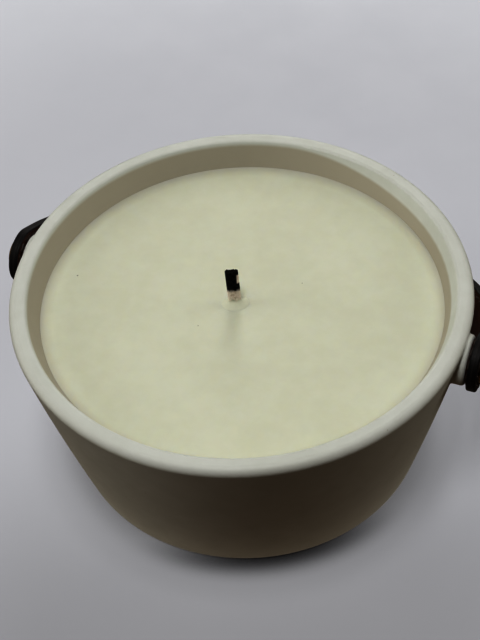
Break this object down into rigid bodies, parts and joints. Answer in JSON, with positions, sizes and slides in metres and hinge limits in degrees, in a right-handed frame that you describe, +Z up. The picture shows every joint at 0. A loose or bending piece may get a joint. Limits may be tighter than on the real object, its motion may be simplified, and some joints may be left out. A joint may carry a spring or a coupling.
{
  "type": "candle pot with carry strap",
  "caption": "Thick-walled round ceramic candle bowl filled with wax around a braided wick, with a leather carry strap that swings on side studs.",
  "frame": {"origin": "middle of the foot, in the plane that the bowl stands on", "axes": "+Z up; X along the stud axis, +X to the right stud; the strap hangs on the +Y side, behind; the front of the bowl faces -Y"},
  "size_m": [0.1232, 0.1147, 0.0541],
  "materials": {
    "ceramic": "satin",
    "wax": "satin",
    "wick_cotton": "matte",
    "tab_steel": "satin",
    "sticker_foam": "matte",
    "strap_leather": "satin",
    "lining_leather": "matte",
    "core_board": "matte",
    "washer_leather": "matte",
    "stud_brass": "satin",
    "eyelet_brass": "satin",
    "insert_brass": "satin"
  },
  "bodies": {
    "bowl": {"pot": "ceramic", "wax_fill": "wax", "wick": "wick_cotton", "wick_sustainer": "tab_steel", "wick_sticker": "sticker_foam", "left_stud": "stud_brass", "left_washer": "washer_leather", "left_insert": "insert_brass", "right_stud": "stud_brass", "right_washer": "washer_leather", "right_insert": "insert_brass"},
    "handle": {"strap_outer": "strap_leather", "strap_core": "core_board", "strap_lining": "lining_leather", "left_eyelet": "eyelet_brass", "left_eyelet_ring": "eyelet_brass", "right_eyelet": "eyelet_brass", "right_eyelet_ring": "eyelet_brass"}
  },
  "joints": [
    {"name": "handle_swing", "type": "hinge", "parent": "bowl", "child": "handle", "pos_m": [0, 0, 0.0422], "axis": [1, 0, 0], "range_deg": [0, 236]}
  ]
}
